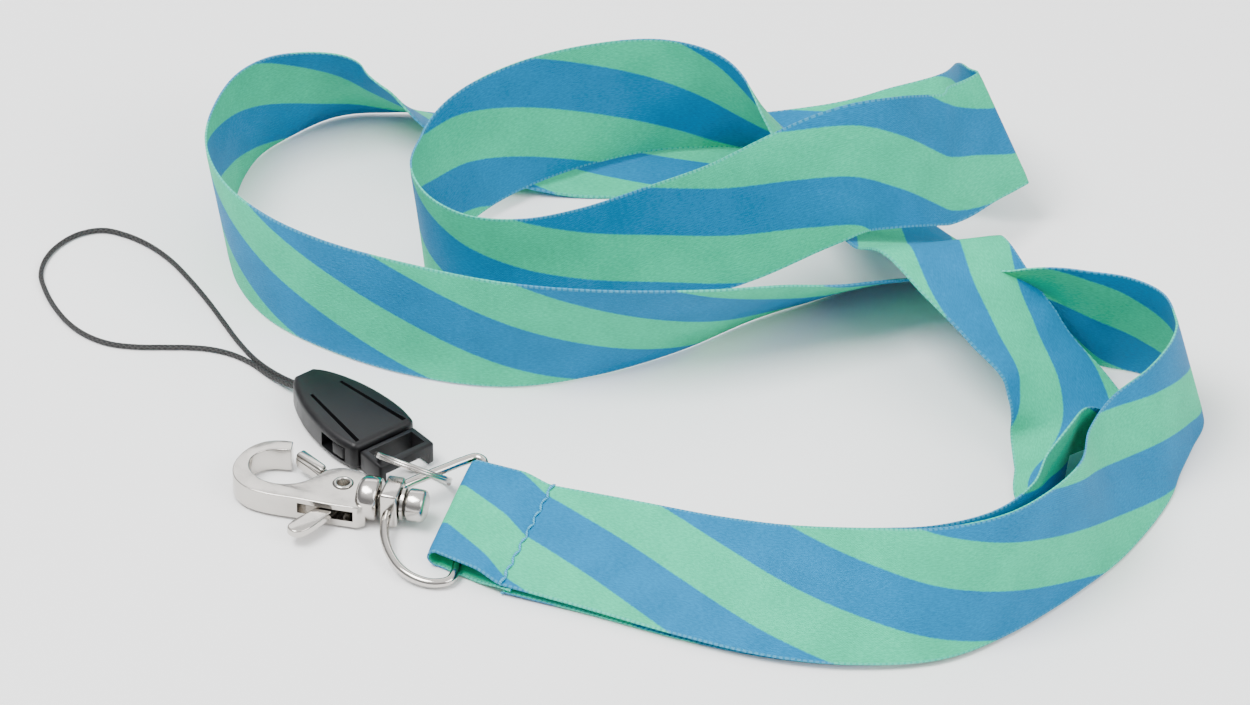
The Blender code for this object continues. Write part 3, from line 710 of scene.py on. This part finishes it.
def build_hook():
    outline = rounded(HOOK_OUTLINE, HOOK_SHARP)
    hook = add_mesh("hook_casting", prism(outline, HOOK_LOW, HOOK_HIGH, on_hook), NICKEL)
    bevel(hook, 1.15, 5, 50)
    collar = [
        (-3.6, 3.0), (-3.2, 3.6), (-2.7, 4.0), (-2.1, 4.15), (-0.4, 4.15), (0.2, 4.0), (0.5, 3.6), (0.6, 3.1),
    ]
    combine(hook, "UNION", "collar", turned_solid(on_hook(0, 0, AXIS_Z), swivel_axis(), collar))
    gap = [(-14.2, -8.0), (-3.4, -8.0), (-3.4, 9.0), (-14.2, 9.0)]
    combine(hook, "DIFFERENCE", "lever_slot", prism(gap, SLOT_LOW, SLOT_HIGH, on_hook))
    hole = turned_solid(on_hook(*PIVOT, -1.0), (0, 0, 1), [(0, RIVET_R + HOLE_GAP), (9, RIVET_R + HOLE_GAP)])
    combine(hook, "DIFFERENCE", "rivet_hole", hole)
    shade_by_angle(hook, 40)
    finish_piece(hook, "hook", "hook_body")


def build_lever():
    outline = rounded(LEVER_OUTLINE, {0, 16}, 3)
    lever = add_mesh("lever_plate", prism(outline, SLOT_LOW + 0.3, SLOT_HIGH - 0.3, on_hook), NICKEL)
    bevel(lever, 0.3, 3, 50)
    hole = turned_solid(on_hook(*PIVOT, -1.0), (0, 0, 1), [(0, RIVET_R + HOLE_GAP), (9, RIVET_R + HOLE_GAP)])
    combine(lever, "DIFFERENCE", "lever_hole", hole)
    shade_by_angle(lever)
    gate = add_mesh("gate_bar", prism(GATE_BAR, 1.4, 4.9, on_hook), NICKEL)
    bevel(gate, 0.6, 4, 40)
    shade_by_angle(gate)
    for piece in (lever, gate):
        finish_piece(piece, "gate", "gate_lever")


def build_rivet():
    low, high = HOOK_LOW - 0.1, HOOK_HIGH + 0.35
    tall = high - low
    wall = [(0, RIVET_HOLE_R), (tall - 0.3, RIVET_HOLE_R), (tall - 0.05, RIVET_HOLE_R + 0.15), (tall, 1.5),
            (tall - 0.1, 1.8), (tall - 0.35, RIVET_R), (0, RIVET_R)]
    shape = turned_solid(on_hook(*PIVOT, low), (0, 0, 1), wall, 48, closed=True)
    rivet = add_mesh("rivet_tube", shape, STEEL)
    shade_by_angle(rivet, 50)
    finish_piece(rivet, "hook", "gate_rivet")
    turns = [on_hook(-5.3 + 0.5 * math.cos(i * 0.45), -3.2 + 0.08 * i, 3.1 + 0.5 * math.sin(i * 0.45))
             for i in range(27)]
    spring = add_mesh("spring_wire", tube(turns, 0.16, 8), STEEL)
    finish_piece(spring, "hook", "gate_spring")


def build_split_ring():
    """Two turns of wire lying on each other."""
    normal = RING_ALONG.cross(RING_ACROSS).normalized()
    first = RING_ALONG.normalized()
    second = normal.cross(first)
    path = []
    for i in range(145):
        angle = math.radians(40 + 5 * i)
        share = i / 144
        path.append(RING_AT + first * RING_R * math.cos(angle) + second * RING_R * math.sin(angle)
                    + normal * (share - 0.5) * RING_TURNS_APART)
    wires = tube(path, 0.4, 14)
    ring = add_mesh("split_ring_wire", wires, STEEL)
    shade_by_angle(ring, 60)
    finish_piece(ring, "ring", "split_ring")


def build_clip():
    outline = rounded(SOCKET_OUTLINE, SOCKET_SHARP)
    socket = add_mesh("socket_shell", prism(outline, 0.3, 6.2, on_clip), PLASTIC)
    bevel(socket, 1.3, 6, 50)
    pocket = [(5.6, -5.6), (30.0, -5.6), (30.0, 5.6), (5.6, 5.6)]
    combine(socket, "DIFFERENCE", "socket_pocket", prism(pocket, 1.5, 4.7, on_clip))
    window = [(16.0, -10.0), (22.9, -10.0), (22.9, 10.0), (16.0, 10.0)]
    combine(socket, "DIFFERENCE", "socket_windows", prism(window, 1.5, 4.7, on_clip))
    for side in (-1, 1):
        groove = [(7.2, 3.1 * side), (24.2, 5.0 * side), (24.2, 5.9 * side), (7.0, 3.7 * side)]
        combine(socket, "DIFFERENCE", f"socket_slot_{side}", prism(groove, 4.0, 8.0, on_clip))
    mouth = turned_solid(on_clip(-2.0, 0, CLIP_MID_Z), clip_axis(), [(0, 1.35), (9, 1.35)], 24)
    combine(socket, "DIFFERENCE", "socket_mouth", mouth)
    shade_by_angle(socket)
    finish_piece(socket, "socket", "clip_socket")
    frame_outline = [(25.8, -6.3), (32.3, -6.3), (32.3, 6.3), (25.8, 6.3)]
    plug = add_mesh("plug_frame", prism(frame_outline, 0.6, 5.2, on_clip), PLASTIC)
    bevel(plug, 0.5, 3)
    hole = [(27.0, -5.0), (31.0, -5.0), (31.0, 5.0), (27.0, 5.0)]
    combine(plug, "DIFFERENCE", "plug_slot", prism(hole, -1.0, 8.0, on_clip))
    under = [(30.0, -5.0), (34.0, -5.0), (34.0, 5.0), (30.0, 5.0)]
    combine(plug, "DIFFERENCE", "bar_under", prism(under, -1.0, 3.1, on_clip))
    shade_by_angle(plug)
    finish_piece(plug, "plug", "clip_plug")
    for name, side, body in (("wing_left", -1.0, "arm_left"), ("wing_right", 1.0, "arm_right")):
        outline = [(p, q * side) for p, q in ARM_OUTLINE]
        arm = add_mesh(name, prism(outline, 1.9, 4.3, on_clip), PLASTIC)
        bevel(arm, 0.25, 3)
        shade_by_angle(arm)
        finish_piece(arm, body, "clip_arm_left" if side < 0 else "clip_arm_right")


def build_cord():
    ball = []
    for i in range(13):
        angle = math.pi * i / 12
        ball.append((KNOT_R * (1 - math.cos(angle)), max(0.02, KNOT_R * math.sin(angle))))
    shape = turned_solid(on_clip(6.2, 0, CLIP_MID_Z), clip_axis(), ball, 24)
    knot = add_mesh("cord_end_knot", shape, THREAD_BLACK)
    finish_piece(knot, "socket", "cord_knot")
    rest = [Vector((x, y, CORD_R + 0.1)) for x, y in CORD_OUT]
    rest[0].z = rest[-1].z = 2.2
    rest[1].z = rest[-2].z = 0.9
    line = smooth_path([on_clip(0.4, 0.56, 3.0), *rest, on_clip(0.4, -0.56, 3.0)], 12)
    path = [on_clip(3.2, CORD_LEG_GAP, CLIP_MID_Z), *line, on_clip(3.2, -CORD_LEG_GAP, CLIP_MID_Z)]
    sides = 14
    shape = tube(path, CORD_R, sides)
    far = [0.0]
    for a, b in zip(path, path[1:]):
        far.append(far[-1] + (b - a).length)
    uvs = []
    for row in range(len(path) - 1):
        for i in range(sides):
            a, b = i / sides, (i + 1) / sides
            u, w = far[row] * MM, far[row + 1] * MM
            uvs.append([(u, a), (u, b), (w, b), (w, a)])
    uvs += [[(0.0, 0.0)] * sides] * 2
    cord = add_mesh("phone_loop", shape, BRAID, uvs=uvs)
    finish_piece(cord, "socket", "phone_loop_cord")


# ---------- stage ----------

def plain_look(name, colour, roughness):
    made, tree, shader = new_look(name)
    shader.inputs["Base Color"].default_value = colour
    shader.inputs["Roughness"].default_value = roughness
    return made


def build_stage():
    far = FLOOR_HALF
    table = bpy.data.meshes.new("floor")
    corners = [(-far, -far, 0), (far, -far, 0), (far, far, 0), (-far, far, 0)]
    table.from_pydata(corners, [], [(0, 1, 2, 3)])
    table.materials.append(plain_look("pale floor", (0.97, 0.97, 0.97, 1.0), 0.9))
    floor = bpy.data.objects.new("floor", table)
    bpy.context.scene.collection.objects.link(floor)
    world = bpy.data.worlds.new("studio")
    world.use_nodes = True
    back = world.node_tree.nodes["Background"]
    spot = node(world.node_tree, "ShaderNodeTexCoord").outputs["Generated"]
    height = node(world.node_tree, "ShaderNodeSeparateXYZ", {0: spot}).outputs[2]
    share = ranged(world.node_tree, height, 0.35, 0.95)
    dome = colour_mix(world.node_tree, share, (0.22, 0.22, 0.23, 1.0), (1.0, 1.0, 1.0, 1.0))
    world.node_tree.links.new(dome, back.inputs["Color"])
    back.inputs["Strength"].default_value = 1.7
    bpy.context.scene.world = world


def add_light(name, where, size, energy, toward=(0.0, 0.0, 0.01)):
    lamp = bpy.data.lights.new(name, "AREA")
    lamp.shape = "RECTANGLE"
    lamp.size, lamp.size_y = size
    lamp.energy = energy
    made = bpy.data.objects.new(name, lamp)
    made.location = where
    aim = Vector(toward) - Vector(where)
    made.rotation_euler = aim.to_track_quat("-Z", "Y").to_euler()
    bpy.context.scene.collection.objects.link(made)


def build_camera():
    lens = bpy.data.cameras.new("camera")
    lens.sensor_width = SENSOR
    lens.lens = LENS
    lens.clip_start = 0.05
    made = bpy.data.objects.new("camera", lens)
    aim = place((0.0, 0.0, 0.0))
    back = Vector((0.0, -math.cos(CAMERA_RISE), math.sin(CAMERA_RISE)))
    made.location = aim + back * CAMERA_FAR
    made.rotation_euler = (math.pi / 2 - CAMERA_RISE, 0.0, 0.0)
    bpy.context.scene.collection.objects.link(made)
    bpy.context.scene.camera = made


strap, strap_length, laid = build_strap()
build_stitches(laid)
build_loop()
build_swivel()
build_hook()
build_lever()
build_rivet()
build_split_ring()
build_clip()
build_cord()
build_stage()
add_light("key", (-0.5, -0.2, 1.1), (0.7, 0.5), 21.0)
add_light("fill", (0.8, -0.6, 0.7), (0.8, 0.6), 8.0)
add_light("rim", (0.1, 1.1, 0.9), (1.2, 0.4), 3.0)
build_camera()
